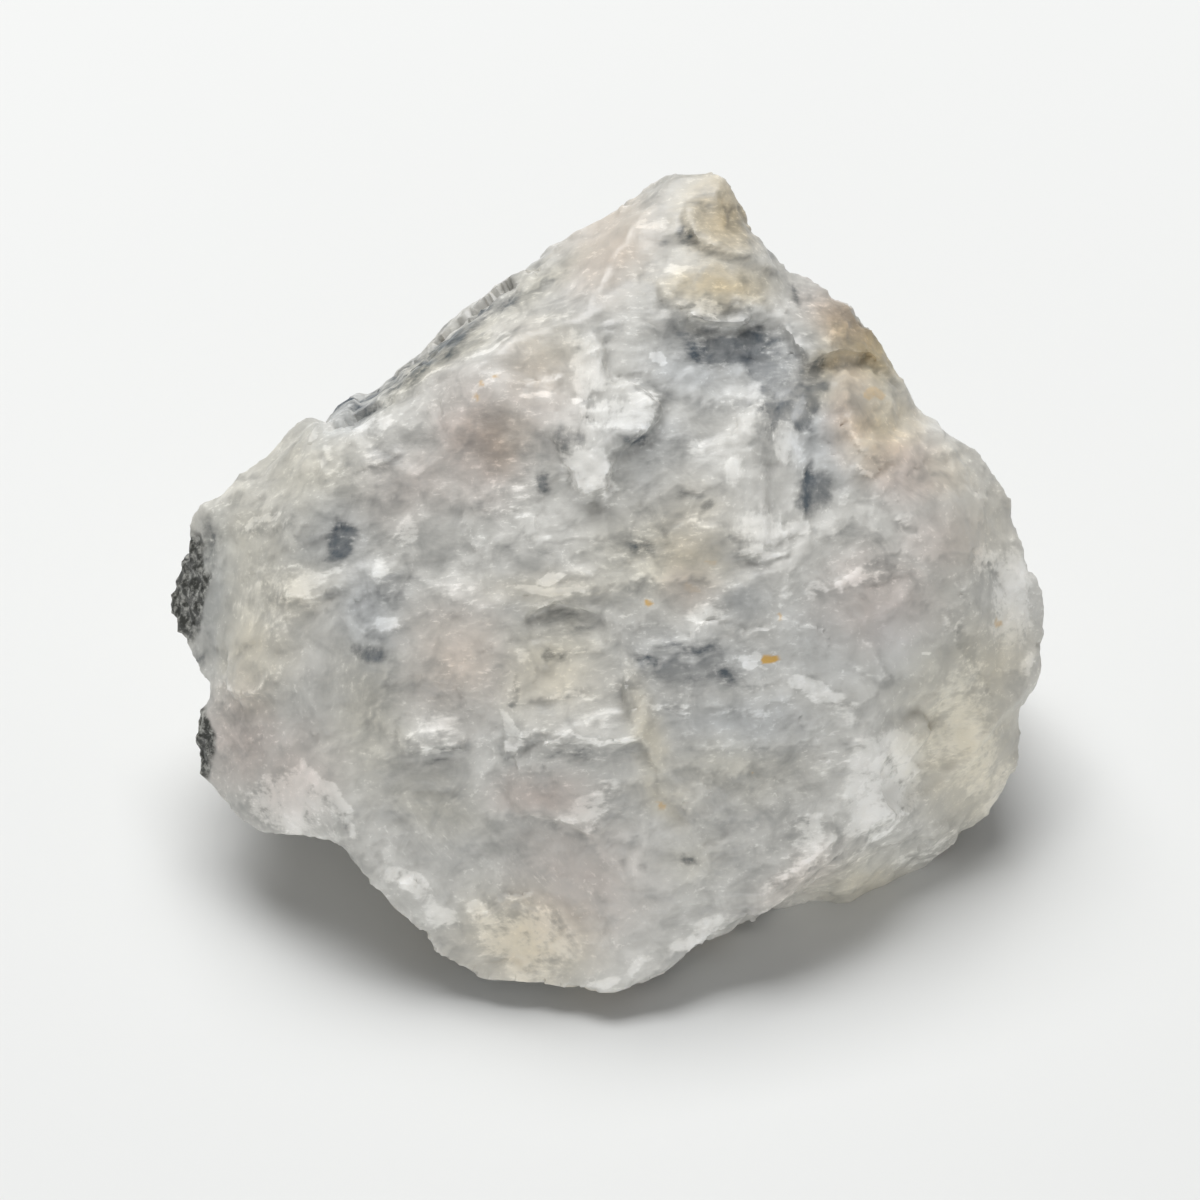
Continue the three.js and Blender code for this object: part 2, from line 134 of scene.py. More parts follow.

# cleavage flakes of the broad face: which way the broken edge looks, degrees from right towards up,
# the step there, how white the lip is with its painted highlight, and the outline in mm on the face
flakes = {
    "beigeStep": {"looks": -85, "step": 0.35, "lipAndHighlight": 0.3, "outline": [
        (-7.3, 2.3), (-4.7, 2.7), (-0.7, 2.9), (0, 1.9), (-2.7, 1), (-5.3, 1.2)]},
    "upperLedge": {"looks": -80, "step": 0.55, "lipAndHighlight": 0.7, "outline": [
        (-6.7, 1.1), (-4.7, 1.5), (-2.7, 0.8), (-0.7, 1.1), (-0.3, 0), (-2, -0.2), (-3.7, -0.5),
        (-5.7, -0.2)]},
    "tanFlake": {"looks": -80, "step": 0.45, "lipAndHighlight": 0.4, "outline": [
        (-5.1, -4.3), (-3.7, -4), (-1.5, -5.1), (-0.9, -6), (-2.7, -6.3), (-3.5, -6.8), (-4.7, -6.8)]},
    "creamUpright": {"looks": -60, "step": 0.45, "lipAndHighlight": 0.8, "outline": [
        (-5.9, -6.7), (-4.8, -5.7), (-3.6, -6), (-3.7, -6.8), (-4.7, -7.6), (-4.7, -9), (-5.7, -10.1),
        (-6.5, -9.8)]},
    "middleLedge": {"looks": -90, "step": 0.6, "lipAndHighlight": 0.6, "outline": [
        (-4.8, -6.8), (-1.8, -6.5), (0.9, -6.7), (2, -8.1), (3, -9.4), (0.5, -9.6), (-1.8, -9.4),
        (-4, -9.1), (-5.5, -9.2)]},
    "leftFlake": {"looks": -90, "step": 0.5, "lipAndHighlight": 0.6, "outline": [
        (-12.6, -8), (-10.8, -7.1), (-8.8, -7.3), (-8.8, -9.6), (-10.4, -9.8), (-11.8, -10.1),
        (-12.7, -9.3)]},
    "paleLens": {"looks": -80, "step": 0.6, "lipAndHighlight": 0.6, "outline": [
        (-5.7, -12.8), (-3.5, -11.3), (-0.7, -10.6), (1.7, -11.4), (2.4, -12.5), (1.3, -13.4),
        (0.2, -14.2), (-0.7, -15.4), (-2.3, -15.6), (-3.3, -14.5), (-5, -14.3)]},
    "creamChip": {"looks": 80, "step": 0.5, "lipAndHighlight": 0.5, "outline": [
        (-9.2, -20.7), (-7.4, -20.3), (-5.9, -19.8), (-4, -20.5), (-3.1, -21.4), (-0.5, -23.4),
        (-1.2, -25.7), (-3.1, -25.6), (-4.9, -24.9), (-6.7, -24.9), (-8.1, -22.9)]},
    "pyramid": {"looks": 90, "step": 0.5, "lipAndHighlight": 0.5, "outline": [
        (6.2, 5.8), (8, 4.7), (9.6, 2.7), (10.5, 1), (9, -0.3), (6.7, -1.7), (4.3, -1.9), (3.3, 0),
        (4.5, 2.7), (4.5, 4.7)]},
    "uprightSlab": {"looks": -60, "step": 0.55, "lipAndHighlight": 0.7, "outline": [
        (8.5, 6.3), (9.4, 8.6), (11.6, 10.6), (12.3, 8.6), (12.1, 6), (12.6, 2.9), (11.2, 2.5),
        (9.3, 3.1)]},
    "whiteSlab": {"looks": 0, "step": 0.4, "lipAndHighlight": 0.5, "outline": [
        (11.6, 11.2), (13.8, 11.3), (13.7, 9.2), (13.3, 7.3), (13.6, 5.2), (12.6, 5.7), (11.8, 7.3)]},
    "crackSide": {"looks": -30, "step": 0.4, "lipAndHighlight": 0.5, "outline": [
        (11.3, 2), (13.7, 3.8), (15.3, 1.2), (16.8, -1.5), (19.6, -5.1), (18, -5.3), (15.3, -3.3),
        (12.6, -1.3)]},
    "pinkFlake": {"looks": 100, "step": 0.4, "lipAndHighlight": 0.7, "outline": [
        (15.5, 1.3), (17.3, 2), (19.4, 1.9), (18.9, 0), (17.2, -1.3), (16.4, -0.3)]},
    "slopingCrest": {"looks": 200, "step": 0.55, "lipAndHighlight": 0.3, "outline": [
        (1.5, -6), (2.7, -6), (6.7, -9.3), (10.6, -12.6), (9, -14.3), (6.3, -14.4), (4.5, -13.5),
        (3.7, -11.3), (2.5, -9)]},
    "whiteLine": {"looks": -80, "step": 0.3, "lipAndHighlight": 0.7, "outline": [
        (2, -6), (3.7, -6), (6, -6.8), (5.6, -7.3), (3.7, -7), (2.7, -6.9)]},
    "bluePale": {"looks": -90, "step": 0.3, "lipAndHighlight": 0.4, "outline": [
        (6, -7), (8.6, -7.4), (11.6, -8), (11.3, -9.2), (9, -9.4), (7, -10.1), (5.5, -9)]},
    "oliveBand": {"looks": -90, "step": 0.5, "lipAndHighlight": 0.4, "outline": [
        (3.7, 21.4), (5.3, 22.2), (8.6, 22.3), (11.2, 21.6), (11, 20), (9.3, 19.2), (6, 19.4), (4.1, 20)]},
    "hornPlate": {"looks": -100, "step": 0.55, "lipAndHighlight": 0.4, "outline": [
        (6, 26.3), (7, 27.4), (8.3, 27.8), (9.8, 25.9), (11.2, 23.3), (9.8, 23), (7.8, 23.3),
        (6.5, 23.4), (5.8, 24.6)]},
    "whiteLeaf": {"looks": -70, "step": 0.3, "lipAndHighlight": 0.5, "outline": [
        (5.3, 19.1), (7, 19.6), (8.5, 19.6), (7.6, 19), (6, 18.6)]},
    "cliffUpper": {"looks": -30, "step": 0.5, "lipAndHighlight": 0.7, "outline": [
        (-5.3, 15.2), (-3.7, 17), (-1.3, 18.8), (0, 18.5), (0, 17), (0.3, 13.8), (-1.7, 13.3),
        (-2.7, 14.3)]},
    "whiteCliff": {"looks": -30, "step": 0.8, "lipAndHighlight": 0.6, "outline": [
        (-2.9, 14.3), (-1.7, 16.6), (0, 17.6), (0.3, 14), (2.7, 14.3), (4, 13.6), (3.7, 12), (2, 10.6),
        (0.8, 9.6), (0.4, 6.7), (-0.7, 6.7), (-1.9, 8), (-2.3, 10)]},
    "rightFlake": {"looks": 210, "step": 0.5, "lipAndHighlight": 0.5, "outline": [
        (16.5, 12.6), (18.1, 12.5), (20, 12), (20.3, 11.2), (19.2, 10.3), (18.5, 9.2), (17.4, 9.6),
        (16.8, 11)]},
    "knobBlock": {"looks": 100, "step": 0.4, "lipAndHighlight": 0.4, "outline": [
        (13.7, 15.2), (15.2, 15.8), (15.8, 15), (15.7, 13.4), (14.3, 13.2), (13.6, 13.8)]},
    "browFlake": {"looks": -70, "step": 0.35, "lipAndHighlight": 0.5, "outline": [
        (-23.9, 5.2), (-22.5, 5.9), (-20.7, 6.3), (-20.5, 5.3), (-22.1, 4.8), (-23.6, 4.5)]},
    "leftLip": {"looks": -80, "step": 0.5, "lipAndHighlight": 0.6, "outline": [
        (-21.8, 0.3), (-20, 1.2), (-17.6, 2.7), (-16.5, 2.1), (-17.2, 0.8), (-19.2, 0.1), (-21.3, -0.1)]},
    "pointFlake": {"looks": -70, "step": 0.45, "lipAndHighlight": 0.6, "outline": [
        (-15.1, 2.3), (-13.6, 3), (-13.2, 5.3), (-11.6, 5.9), (-12.1, 3.7), (-12.8, 1.7), (-13.8, -0.1),
        (-14.8, 0.7)]},
    "lowerPoint": {"looks": -90, "step": 0.35, "lipAndHighlight": 0.6, "outline": [
        (-15.4, -1.9), (-14.6, -0.8), (-13, -0.7), (-13.4, -2), (-14.6, -2.1)]},
    "lobeShelf": {"looks": -80, "step": 0.7, "lipAndHighlight": 0.6, "outline": [
        (-25.6, -5.7), (-24.9, -4), (-23.3, -2.7), (-21.4, -3), (-21.8, -5), (-22.5, -6), (-24.1, -6.4)]},
    "browCrest": {"looks": -60, "step": 0.4, "lipAndHighlight": 0.5, "outline": [
        (-16.3, 8.6), (-15.6, 10.3), (-13.6, 11.3), (-13.4, 9.8), (-14.8, 8.8)]},
    "browCrest2": {"looks": -60, "step": 0.35, "lipAndHighlight": 0.5, "outline": [
        (-18.8, 8.8), (-18.3, 10.3), (-17.3, 10.6), (-17.2, 9.2), (-18, 8.4)]},
    "violetLens": {"looks": -120, "step": 0.3, "lipAndHighlight": 0.6, "outline": [
        (-8, 8.6), (-7, 9.2), (-5.7, 7.3), (-5.9, 5.9), (-7.3, 5.6), (-8.1, 6.7)]},
    "feather": {"looks": 80, "step": 0.35, "lipAndHighlight": 0.4, "outline": [
        (12.4, -6), (13.3, -5), (15.3, -6), (17.3, -7), (19, -7.8), (17.3, -8.4), (15, -7.7), (13, -7.2)]},
    "jaggedLedge": {"looks": -30, "step": 0.8, "lipAndHighlight": 0.7, "outline": [
        (13.3, -17.4), (14.6, -13.3), (16.6, -10.6), (19, -8.5), (21.1, -9.3), (20.3, -10.1),
        (21.4, -11.4), (20.1, -12.1), (19.8, -13.3), (20.5, -14.1), (19.2, -15.4), (17.8, -16.6),
        (15.6, -18.1)]},
    "whiteCorner": {"looks": -50, "step": 0.45, "lipAndHighlight": 0.6, "outline": [
        (11.3, -18.1), (13, -15), (15.3, -14.1), (15.8, -16), (14.1, -17.4), (12, -18.9)]},
    "lobeTooth": {"looks": -20, "step": 0.4, "lipAndHighlight": 0.5, "outline": [
        (-20, -10.6), (-18.6, -11.6), (-16.5, -16), (-17.6, -16.3), (-19.2, -14.1)]},
    "rightLedge": {"looks": 30, "step": 0.45, "lipAndHighlight": 0.5, "outline": [
        (23.1, -0.7), (23.9, -2.7), (25.6, -6.7), (25.9, -9), (24.9, -8.5), (23.8, -6), (22.9, -3.3)]},
}

# colours of the broad face: mm to the right and up, two radii, turn in degrees, strength
patches = {
    # grey zones of the stone, plus painted shade in hollows, under ledges and on the top of the horn
    "greyAndShade": [
        (9.5, 13.0, 2.5, 1.6, 0, 0.7), (17.6, 17.6, 3.0, 2.2, -30, 1),
        (8.3, 25.1, 2.9, 2.6, 0, 1), (7.6, 20.9, 3.9, 1.9, 0, 1),
        (-15.6, -6.0, 2.7, 5.3, 10, 0.8), (-11.3, -13.3, 4.7, 2.3, -35, 0.7),
        (-6.7, -16.6, 4.0, 2.3, -35, 0.5), (-1.3, -10.3, 4.3, 0.8, 0, 0.6), (6.7, -4.3, 6.0, 1.9, -6, 0.7),
        (9.3, -11.3, 5.3, 1.9, -8, 0.6), (2.7, 3.0, 3.0, 2.7, 0, 0.7), (3.7, 10.0, 2.1, 1.3, 10, 0.6),
        (11.0, 9.6, 1.1, 2.7, 0, 0.4), (2.7, 18.6, 3.0, 2.5, 0, 0.3), (-23.6, 7.3, 3.0, 3.0, 30, 0.25),
        (-20.0, 9.6, 1.9, 1.7, 0, 0.4), (-11.0, 15.8, 7.0, 1.1, 36, 1),
        (-4.6, 20.6, 4.0, 0.9, 38, 0.8), (16.6, 4.3, 3.0, 0.8, -8, 0.5),
        (25.9, 3.0, 1.7, 2.7, 0, 0.35), (15.3, 19.3, 3.3, 1.6, -30, 0.6), (6.0, 16.6, 2.0, 1.7, 20, 0.5),
        (-4.3, 9.0, 2.4, 1.9, -20, 0.6), (-7.0, 10.6, 2.8, 2.7, 0, 0.8), (17.3, -10.3, 2.0, 1.3, 0, 0.4),
        (-25.6, 3.7, 1.2, 3.3, 0, 0.4), (-24.3, -9.3, 2.0, 2.4, 0, 0.4), (-2.3, -2.1, 2.7, 2.0, -10, 0.5),
        (-6.3, 3.5, 1.6, 0.7, 5, 0.5), (0.0, -21.9, 3.3, 2.7, -40, 0.35), (6.0, -17.0, 1.7, 1.1, -30, 0.5),
        (19.3, 16.0, 1.3, 2.7, -20, 0.9),
    ],
    "olive": [
        (-23.9, 2.7, 4.7, 7.3, 0, 0.8), (-20.0, 8.6, 4.0, 3.3, 20, 0.8), (-10.6, 16.0, 6.0, 0.9, 36, 1),
        (-4.0, 20.9, 4.0, 0.9, 40, 0.8), (7.4, 20.9, 4.0, 1.9, 0, 0.8), (19.3, 16.6, 2.0, 4.0, -25, 0.9),
        (24.3, -8.0, 4.0, 7.3, 10, 0.9), (2.0, 2.7, 3.3, 3.0, 0, 0.7), (-15.3, -8.0, 2.7, 5.3, 10, 0.7),
        (-11.3, -13.3, 4.0, 2.0, -30, 0.6), (8.6, -11.3, 5.3, 2.0, -5, 0.6),
        (3.3, -10.0, 1.3, 4.0, 15, 0.6), (-2.7, -2.7, 3.3, 2.0, 0, 0.6), (16.6, -18.6, 4.7, 1.7, 20, 0.7),
        (6.0, -17.3, 2.0, 2.0, 0, 0.5),
    ],
    "pink": [
        (-8.0, 10.6, 3.3, 4.0, 10, 1), (-4.7, 13.3, 3.3, 4.0, 0, 0.5), (0.7, 23.3, 2.7, 4.0, -35, 0.6),
        (20.3, 8.6, 3.3, 2.3, -25, 0.8), (16.6, 12.3, 1.5, 3.3, 0, 0.8), (18.6, 0.0, 4.0, 3.3, 0, 0.7),
        (22.6, 4.0, 2.7, 2.7, 0, 0.5), (-23.9, -9.3, 2.7, 3.3, 0, 0.8), (-20.6, -11.3, 3.3, 3.3, 0, 0.6),
        (-9.6, -4.0, 3.3, 4.0, 0, 0.6), (-3.7, -13.0, 3.3, 1.7, 0, 0.9), (-1.3, -18.6, 4.7, 4.0, -40, 0.6),
        (15.8, 19.0, 2.7, 1.6, -30, 0.8), (-12.0, 8.0, 4.0, 2.7, 20, 0.5),
        (13.3, -18.6, 4.0, 1.3, 28, 0.4), (6.0, 0.7, 2.0, 1.2, 0, 0.5),
    ],
    "cream": [
        (17.6, 17.6, 3.0, 2.4, -30, 0.9), (7.6, 20.9, 3.7, 1.7, 0, 0.7),
        (7.6, 25.6, 3.3, 3.3, -10, 1), (1.3, 23.9, 2.7, 4.0, -35, 0.6), (-3.7, 16.3, 2.7, 2.7, 0, 0.6),
        (16.0, 14.3, 2.7, 2.0, 0, 0.9), (18.6, 11.3, 2.7, 2.7, -20, 1), (23.3, 8.6, 2.7, 2.0, -30, 0.7),
        (25.9, 5.3, 2.7, 4.0, -20, 0.5), (24.3, -10.6, 4.0, 6.0, 10, 0.6), (26.6, -4.0, 2.7, 3.3, 0, 0.6),
        (-23.3, -4.0, 2.7, 3.3, 0, 0.7), (-5.0, -22.6, 4.7, 3.3, -15, 1), (6.0, 3.7, 3.3, 3.7, 0, 0.7),
        (-3.3, -5.3, 4.0, 2.7, 0, 0.8), (-9.3, -4.0, 3.3, 3.3, 0, 0.4), (-20.0, 0.0, 3.3, 2.0, 20, 0.4),
        (2.7, -8.0, 1.1, 4.0, 15, 0.6), (4.3, -13.3, 2.3, 1.3, -30, 0.6), (-3.7, 0.7, 4.0, 1.3, 0, 0.6),
        (18.6, -19.3, 3.3, 1.3, 10, 0.6),
    ],
    "blue": [
        (20.0, -2.6, 3.0, 3.0, 0, 0.6),
        (6.0, 15.3, 3.3, 2.7, 0, 0.8), (10.0, 16.0, 4.0, 2.7, -20, 0.9), (14.6, 10.6, 2.0, 4.0, 0, 0.8),
        (-15.3, -0.7, 2.3, 3.3, 10, 0.9), (-25.8, 0.0, 1.5, 6.0, 0, 0.9), (-16.6, 12.3, 2.7, 1.3, 35, 0.8),
        (-18.0, 3.7, 2.7, 2.7, 20, 0.6), (9.0, -8.0, 5.3, 2.0, 0, 0.7), (6.7, -4.0, 6.0, 2.0, -5, 0.5),
        (9.6, 0.0, 2.0, 1.3, 0, 0.6), (3.3, 10.6, 3.3, 2.7, 0, 0.5), (14.6, -2.7, 4.0, 4.0, 0, 0.4),
    ],
    # olive-brown of the knob and other spots, plus painted shade in the recess under the knob
    "brownAndShade": [
        (17.8, 17.4, 3.4, 2.4, -30, 1), (15.6, 16.2, 2.0, 0.9, 20, 1), (8.4, 25.3, 2.6, 2.6, 0, 0.8),
        (18.6, 11.3, 2.4, 2.2, -20, 0.5), (7.6, 20.9, 3.6, 1.6, 0, 0.6), (-6.8, 10.8, 2.2, 2.2, 0, 0.4),
        (-5.0, -22.6, 3.5, 2.4, -15, 0.3), (6.0, 3.0, 2.0, 2.0, 0, 0.3),
    ],
    # painted light: brighter patches on the right face, the right rim and the jagged ledge
    "paintedLight": [
        (20.0, -2.6, 3.2, 3.2, 0, 0.7), (19.0, -12.0, 2.6, 4.0, -20, 1), (27.3, -1.0, 2.0, 4.0, 0, 0.7),
        (18.5, -18.3, 2.5, 1.2, 20, 0.6),
    ],
    # dark blue-grey stone, plus painted shade in the hollows, pits and under ledges
    "darkAndShade": [
        (-12.3, 15.3, 5.6, 0.9, 36.5, 0.7), (-7.0, 19.2, 2.5, 0.7, 36.5, 0.5),
        (8.8, 16.8, 3.3, 1.4, 6, 1.1), (12.6, 13.4, 2.2, 2.6, -20, 1.9),
        (11.6, 14.7, 1.8, 1.2, -45, 1.6), (10.9, 15.3, 1.6, 1.4, -40, 1.5),
        (8.3, 17.3, 2.9, 0.8, 15, 1), (6.7, 18.0, 1.7, 0.5, 18, 0.6), (9.3, 16.3, 1.5, 0.6, 10, 1),
        (11.0, 15.6, 1.1, 1.2, -40, 1), (12.5, 13.4, 1.4, 1.5, 0, 1.1), (11.2, 14.4, 0.9, 0.7, 0, 0.9),
        (10.4, 18.0, 1.2, 0.5, 15, 0.6), (6.0, 16.6, 0.9, 0.3, 15, 0.5), (-17.4, 3.9, 1.3, 1.1, 40, 1.1),
        (-18.1, 2.9, 0.8, 0.4, 25, 0.6), (-15.4, -3.4, 1.1, 0.8, 0, 0.8), (-2.9, -3.5, 0.9, 0.7, -20, 0.8),
        (-1.7, -1.5, 1.9, 0.8, -10, 0.35), (14.2, 7.3, 1.1, 1.9, 0, 0.9), (-1.8, 10.6, 0.9, 0.9, 0, 1),
        (-3.6, 8.0, 0.6, 0.7, -20, 0.9), (6.8, 6.1, 0.6, 0.5, 10, 1), (6.1, 6.8, 0.9, 0.5, 0, 0.5),
        (2.7, 3.5, 1.1, 0.9, 0, 0.6), (14.2, 15.6, 1.0, 0.6, 20, 0.95), (8.4, -4.8, 2.0, 0.8, -8, 0.4),
        (6.0, -3.3, 2.4, 0.4, -6, 0.5), (10.6, -5.7, 1.1, 0.3, -6, 0.6), (3.3, -4.0, 1.5, 0.4, -8, 0.5),
        (6.0, -17.0, 1.0, 0.5, -35, 0.9), (-5.5, -6.0, 0.3, 1.2, 0, 0.75), (-5.7, -6.8, 0.3, 0.4, 0, 0.9),
        (5.6, 24.3, 0.7, 1.1, -20, 0.7), (6.1, 23.4, 0.5, 0.3, 0, 0.6), (2.3, 10.6, 0.9, 0.6, 0, 0.7),
        (13.1, 20.0, 0.5, 0.9, 10, 0.65), (-26.3, 3.7, 0.6, 2.3, 0, 0.8), (-16.5, 12.5, 1.3, 0.6, 33, 0.7),
        (-10.8, -10.6, 1.3, 0.3, 0, 0.5), (0.0, 3.2, 0.7, 0.4, 0, 0.4), (-3.7, 2.9, 0.8, 0.3, 0, 0.4),
        (4.0, 23.6, 0.7, 0.4, 0, 0.4), (-26.9, -4.0, 0.5, 0.9, 0, 0.5), (-0.7, -2.0, 0.5, 0.3, 0, 0.4),
        (2.7, -15.6, 0.9, 0.3, 20, 0.3), (-2.3, -10.4, 2.7, 0.3, 0, 0.4), (19.2, -10.6, 1.1, 0.7, 0, 0.35),
    ],
    # white flakes of the stone, plus painted light on the lobe, the toe, the left and right rims and the
    # jagged ledge
    "whiteAndLit": [
        (-20.9, -13.3, 3.3, 2.4, 0, 0.85), (-5.0, -22.6, 4.1, 2.7, -15, 0.75),
        (24.3, -8.6, 3.1, 6.0, 10, 0.55), (27.3, 0.0, 1.7, 4.0, 0, 0.7), (-21.3, 0.0, 3.7, 4.0, 0, 0.45),
        (19.0, -12.0, 2.7, 4.0, -20, 1),
        (-1.1, 15.6, 1.2, 2.3, 0, 0.75), (-1.0, 13.6, 1.3, 0.3, 0, 0.95), (-4.1, 13.9, 1.2, 0.3, 0, 0.8),
        (0.5, 12.2, 2.4, 1.3, 0, 0.8), (2.7, 12.8, 1.2, 1.5, 0, 0.85), (-0.7, 8.6, 1.7, 1.7, 0, 1),
        (-1.7, 9.6, 0.7, 1.3, 0, 0.6), (0.7, 7.4, 0.9, 0.8, 0, 0.8), (3.7, 25.1, 1.2, 0.7, 15, 0.7),
        (5.1, 22.1, 1.3, 0.3, 5, 0.8), (6.9, 19.2, 1.5, 0.5, 12, 1), (6.5, 10.0, 0.9, 0.9, 0, 0.7),
        (12.6, 10.2, 1.2, 1.6, 0, 0.85), (9.0, 8.6, 0.8, 1.5, 0, 0.6), (10.6, 4.7, 1.9, 2.0, 0, 0.6),
        (10.3, 3.0, 1.7, 0.4, -5, 0.9), (13.3, 5.0, 0.9, 0.8, 0, 0.6), (-1.7, 17.6, 0.9, 0.8, 0, 0.5),
        (-22.3, 5.2, 1.7, 0.5, 18, 0.95), (-12.8, 4.7, 0.9, 1.3, -20, 0.85),
        (-14.2, 1.7, 0.7, 1.5, 0, 0.85), (-19.6, 0.9, 2.0, 0.6, 18, 0.95), (-17.6, 2.0, 0.9, 0.5, 35, 0.8),
        (-14.0, -1.3, 1.2, 0.6, 10, 0.9), (-15.0, 11.7, 1.5, 0.5, 15, 0.6),
        (-15.0, 9.4, 0.9, 1.1, 30, 0.6), (-18.2, 10.0, 0.5, 1.1, 0, 0.5), (-3.5, 0.7, 3.1, 0.4, -2, 0.95),
        (-5.0, -3.7, 0.9, 0.8, -40, 0.6), (-2.0, -6.4, 2.3, 0.3, 0, 0.9), (-5.9, -8.5, 0.5, 1.6, 20, 0.95),
        (-5.7, -9.8, 0.8, 0.3, 0, 0.9), (-1.0, -9.2, 4.0, 0.2, 0, 0.85), (0.0, -8.0, 2.3, 0.7, 0, 0.4),
        (-10.6, -8.6, 1.7, 1.2, 0, 0.6), (-10.6, -9.8, 1.6, 0.3, 5, 0.9), (-0.7, -14.0, 2.3, 1.1, 20, 0.8),
        (0.8, -12.6, 1.3, 0.9, 0, 0.6), (-2.0, -14.6, 1.5, 0.5, 0, 0.6), (-20.7, -13.3, 2.3, 1.5, 0, 0.6),
        (-17.8, -13.3, 0.7, 3.1, 32, 0.95), (-19.3, -11.3, 0.5, 1.5, 20, 0.8),
        (-12.3, -19.0, 2.0, 0.8, -38, 0.7), (-13.6, -18.1, 0.9, 0.7, 0, 0.7),
        (-10.6, -20.9, 1.5, 0.8, -30, 0.6), (-8.0, -20.3, 1.3, 0.5, 0, 0.6),
        (-2.7, -24.3, 1.2, 0.5, 0, 0.4), (0.3, -25.6, 1.5, 0.5, 25, 0.6), (14.8, -6.3, 2.4, 0.9, -25, 0.9),
        (13.3, -5.5, 0.8, 0.7, 0, 0.7), (16.6, -7.2, 1.1, 0.5, -15, 0.7), (9.0, -7.4, 2.4, 0.5, 0, 0.55),
        (6.0, -9.0, 0.9, 0.4, 0, 0.5), (4.3, -7.0, 1.9, 0.3, -8, 0.8), (18.6, -10.3, 2.1, 1.5, -20, 0.85),
        (20.3, -9.3, 1.1, 0.8, -30, 0.9), (19.0, -13.3, 1.6, 1.2, 10, 0.9),
        (17.6, -15.3, 2.0, 0.8, 20, 0.7), (14.1, -15.3, 1.3, 1.5, 0, 1), (13.6, -16.6, 1.1, 0.7, 0, 0.7),
        (10.3, -14.6, 0.8, 0.8, 0, 0.5), (12.6, -18.3, 3.1, 0.6, 28, 0.7), (6.7, -22.3, 4.0, 0.7, 30, 0.6),
        (2.7, -24.3, 1.3, 0.5, 30, 0.5), (21.9, -16.6, 4.0, 0.6, 30, 0.55),
        (26.6, -12.6, 0.9, 2.7, -15, 0.5), (28.5, -4.3, 0.8, 1.1, 0, 0.6), (27.6, 0.7, 1.1, 1.7, 0, 0.4),
        (25.6, 2.7, 1.1, 1.6, 20, 0.5), (24.6, 0.0, 0.8, 0.9, 0, 0.4), (23.6, -2.0, 0.3, 1.7, -15, 0.6),
        (24.9, -5.0, 0.3, 1.3, -15, 0.5), (17.4, 1.5, 1.5, 0.5, 0, 0.75), (14.3, 0.7, 0.8, 0.7, 0, 0.7),
        (12.0, 0.7, 0.9, 0.7, 0, 0.5), (7.0, -0.8, 1.6, 0.8, 0, 0.7), (9.0, 1.3, 0.8, 0.7, 0, 0.5),
        (2.7, 1.3, 1.2, 0.5, 0, 0.5), (6.0, 2.7, 0.9, 0.7, 0, 0.4), (10.3, -3.7, 0.5, 0.4, 0, 0.9),
        (9.3, -4.0, 0.5, 0.4, 0, 0.8), (-10.6, 2.7, 1.3, 0.8, 0, 0.4), (-8.6, 3.7, 1.3, 0.9, 0, 0.35),
        (-10.0, 0.7, 0.9, 0.5, 0, 0.35), (-5.3, 6.0, 1.5, 0.9, 0, 0.4), (-7.0, 7.6, 1.2, 0.3, -45, 0.6),
        (-5.3, 7.0, 0.9, 0.7, 0, 0.5), (-8.0, 14.0, 1.7, 0.3, 40, 0.5), (-10.0, 12.5, 1.1, 0.3, 35, 0.4),
        (-11.3, -13.3, 1.3, 0.5, -10, 0.35), (-3.3, -17.6, 1.3, 0.5, -45, 0.4),
        (-0.7, -20.0, 1.6, 0.5, -50, 0.4), (1.3, -18.0, 1.3, 0.5, -45, 0.4),
        (3.3, -20.0, 1.2, 0.5, -40, 0.4), (-6.7, -18.0, 1.2, 0.4, -40, 0.35),
        (18.0, 6.7, 0.9, 0.4, 0, 0.5), (20.3, 5.3, 0.7, 0.8, 0, 0.5), (16.0, 6.7, 0.7, 1.2, 0, 0.4),
        (22.6, 8.0, 1.3, 0.3, -25, 0.5), (23.3, 5.3, 0.9, 0.5, -20, 0.35), (8.0, -12.6, 0.9, 0.7, 0, 0.4),
        (11.3, -10.6, 1.1, 0.5, 0, 0.35), (6.7, -11.3, 0.8, 0.4, 0, 0.3), (14.6, -11.3, 1.2, 0.7, 0, 0.4),
        (16.6, -8.0, 1.2, 0.4, -20, 0.5), (-10.0, -6.7, 1.1, 0.7, 0, 0.35), (-8.0, -1.3, 0.9, 0.7, 0, 0.3),
        (0.0, 20.0, 1.3, 0.4, 15, 0.4), (-2.7, 18.8, 2.0, 0.3, 18, 0.5), (-7.3, 17.0, 2.7, 0.2, 33, 0.75),
        (-11.6, 14.5, 2.7, 0.2, 28, 0.7), (1.3, 22.3, 0.5, 2.0, -30, 0.35),
        (13.3, 17.6, 1.1, 0.5, 10, 0.6), (15.3, 17.6, 0.9, 0.4, 20, 0.5), (8.6, 13.3, 0.7, 0.5, 0, 0.3),
        (10.6, 12.5, 0.5, 0.9, 0, 0.35), (8.0, 11.6, 0.5, 0.5, 0, 0.3),
    ],
    "rust": [
        (11.3, -3.7, 0.7, 0.5, 0, 1), (3.1, -0.1, 0.3, 0.4, 10, 0.7), (-8.4, 13.4, 0.3, 0.3, 0, 0.55),
        (-7.1, 14.8, 0.3, 0.2, 0, 0.55), (-7.9, 14.2, 0.2, 0.3, 20, 0.5), (12.0, -1.1, 0.3, 0.4, 10, 0.5),
        (26.7, -1.5, 0.3, 0.2, 20, 0.5), (4.2, -13.3, 0.3, 0.2, 0, 0.5), (10.0, -11.5, 0.2, 0.2, 0, 0.5),
        (18.2, 13.8, 0.7, 0.5, -20, 0.4), (6.2, 0.7, 0.9, 0.4, 0, 0.3), (7.3, 2.5, 0.7, 0.3, 0, 0.35),
    ],
    "mica": [
